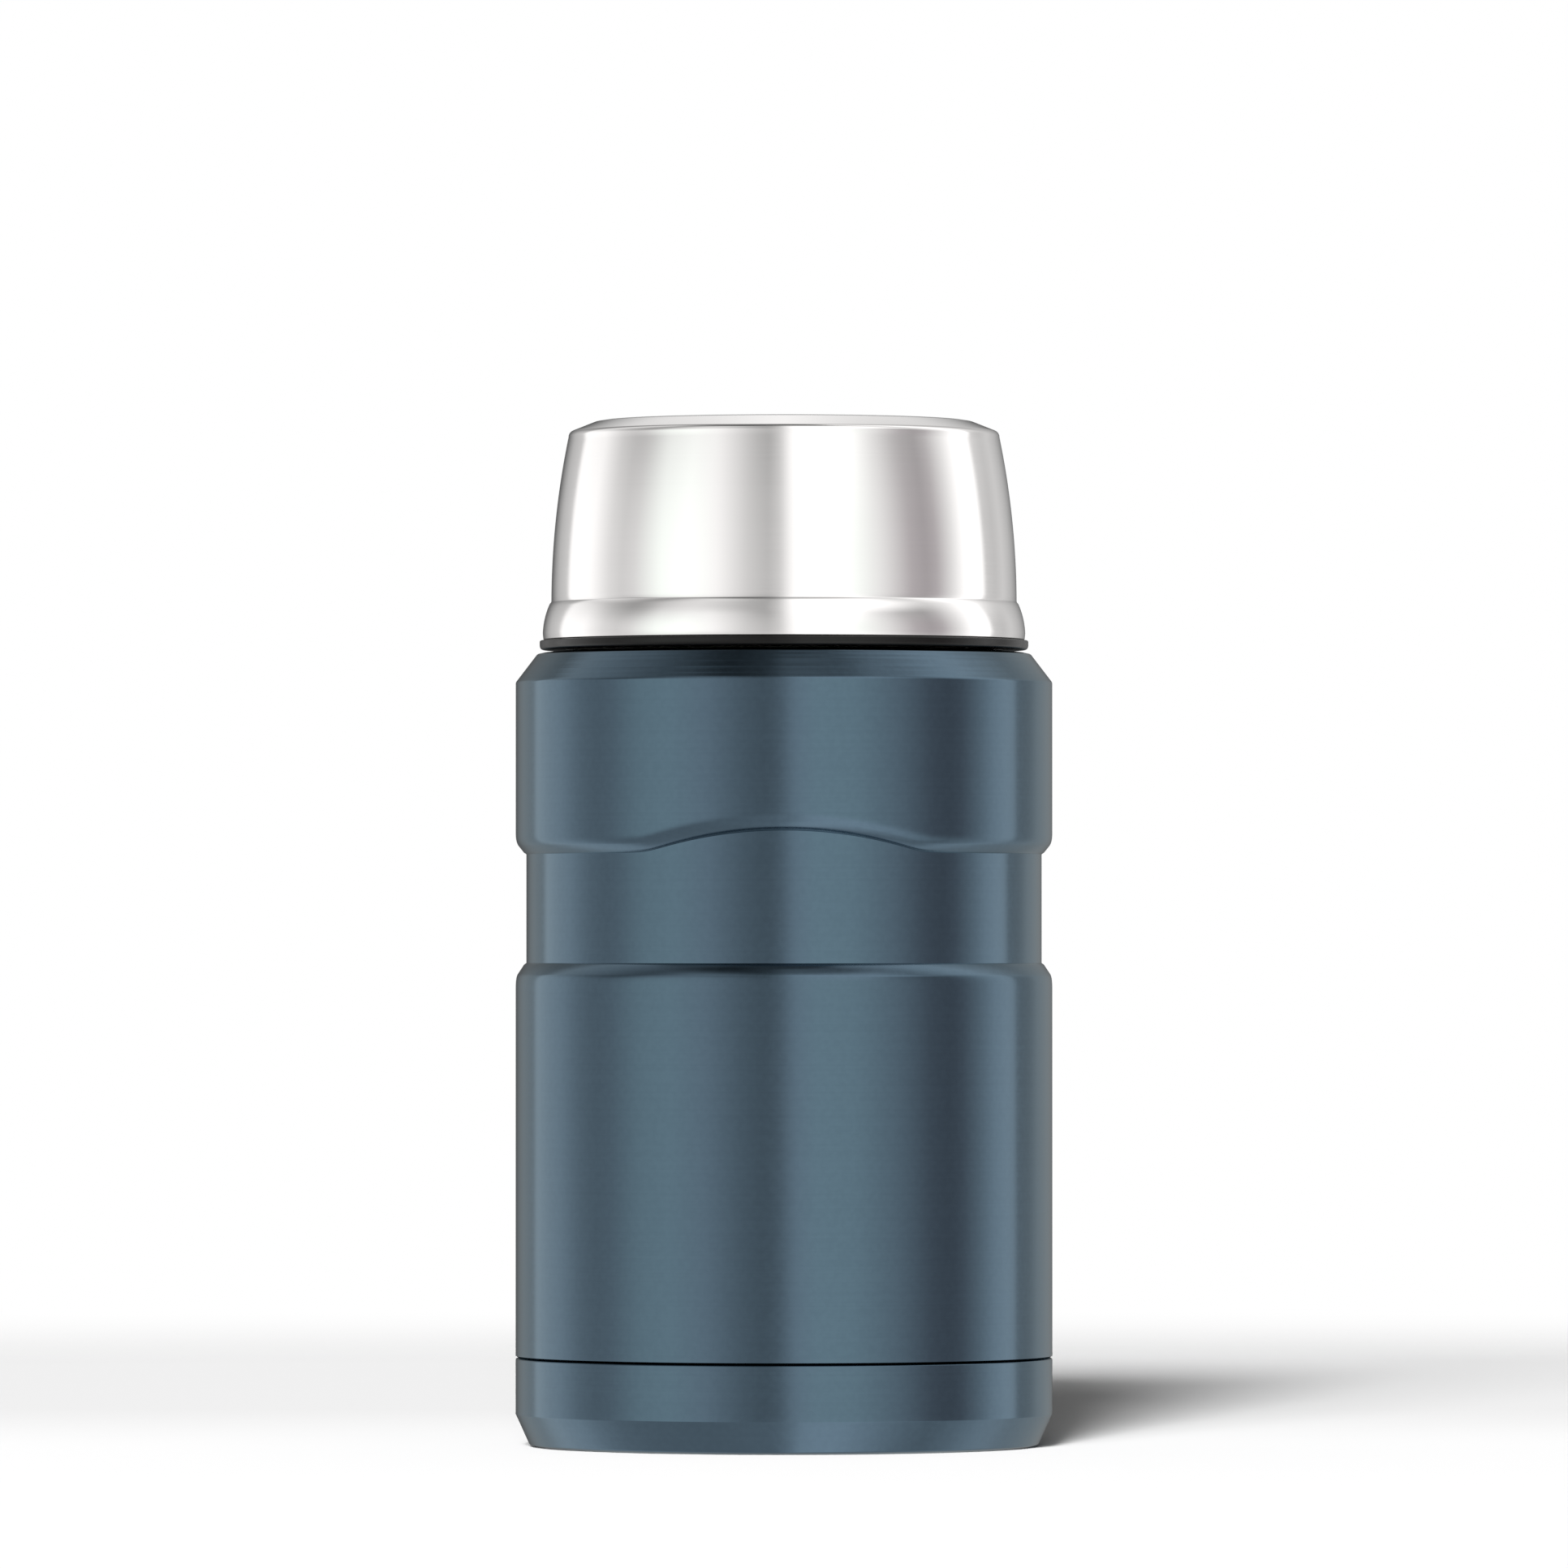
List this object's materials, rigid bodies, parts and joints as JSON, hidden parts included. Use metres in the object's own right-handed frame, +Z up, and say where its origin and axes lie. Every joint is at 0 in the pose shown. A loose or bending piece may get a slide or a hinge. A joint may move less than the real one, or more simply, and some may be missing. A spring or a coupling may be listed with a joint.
{
  "type": "insulated food jar",
  "caption": "Wide-mouth double-wall steel food jar with a screw stopper and a screw-on bowl lid, straight painted body with a recessed grip band.",
  "frame": {"origin": "centre of the foot, on the surface that the jar stands on", "axes": "+Z up along the jar's axis towards the lid; -Y is the front, where the band rises into an arch"},
  "size_m": [0.101, 0.101, 0.193],
  "materials": {
    "shell_paint": "satin",
    "base_paint": "satin",
    "vessel_steel": "satin",
    "vessel_bottom_steel": "satin",
    "foil": "polished",
    "foil_under": "polished",
    "closure_steel": "satin",
    "seal_metal": "satin",
    "getter": "matte",
    "clip_steel": "satin",
    "gasket_silicone": "matte",
    "plug_plastic": "satin",
    "foam": "matte",
    "grip_plastic": "satin",
    "ring_silicone": "matte",
    "collar_plastic": "satin",
    "bowl_steel": "polished",
    "bowl_inner_steel": "satin"
  },
  "bodies": {
    "jar": {"outer_shell": "shell_paint", "base_cup": "base_paint", "inner_vessel": "vessel_steel", "inner_bottom": "vessel_bottom_steel", "foil_sleeve": "foil", "foil_disc": "foil_under", "vacuum_closure": "closure_steel", "port_seal": "seal_metal", "getter_pellet": "getter", "getter_clip": "clip_steel"},
    "stopper_seal": {"stopper_gasket": "gasket_silicone"},
    "stopper": {"stopper_plug": "plug_plastic", "stopper_foam": "foam", "stopper_grip": "grip_plastic"},
    "lid_seal": {"ring_seal": "ring_silicone"},
    "lid": {"lid_collar": "collar_plastic", "bowl_outer": "bowl_steel", "bowl_inner": "bowl_inner_steel"}
  },
  "joints": [
    {"name": "stopper_lift", "type": "slide", "parent": "jar", "child": "stopper_seal", "axis": [0, 0, 1], "range_m": [0, 0.036]},
    {"name": "stopper_turn", "type": "hinge", "parent": "stopper_seal", "child": "stopper", "pos_m": [0, 0, 0.15], "axis": [0, 0, 1], "range_deg": [0, 720]},
    {"name": "lid_lift", "type": "slide", "parent": "stopper", "child": "lid_seal", "axis": [0, 0, 1], "range_m": [0, 0.045]},
    {"name": "lid_turn", "type": "hinge", "parent": "lid_seal", "child": "lid", "pos_m": [0, 0, 0.16], "axis": [0, 0, 1], "range_deg": [0, 900]}
  ],
  "couplings": [
    {"joint": "stopper_lift", "follows": "stopper_turn", "m_per_rad": 0.0028648},
    {"joint": "lid_lift", "follows": "lid_turn", "m_per_rad": 0.0028648}
  ]
}
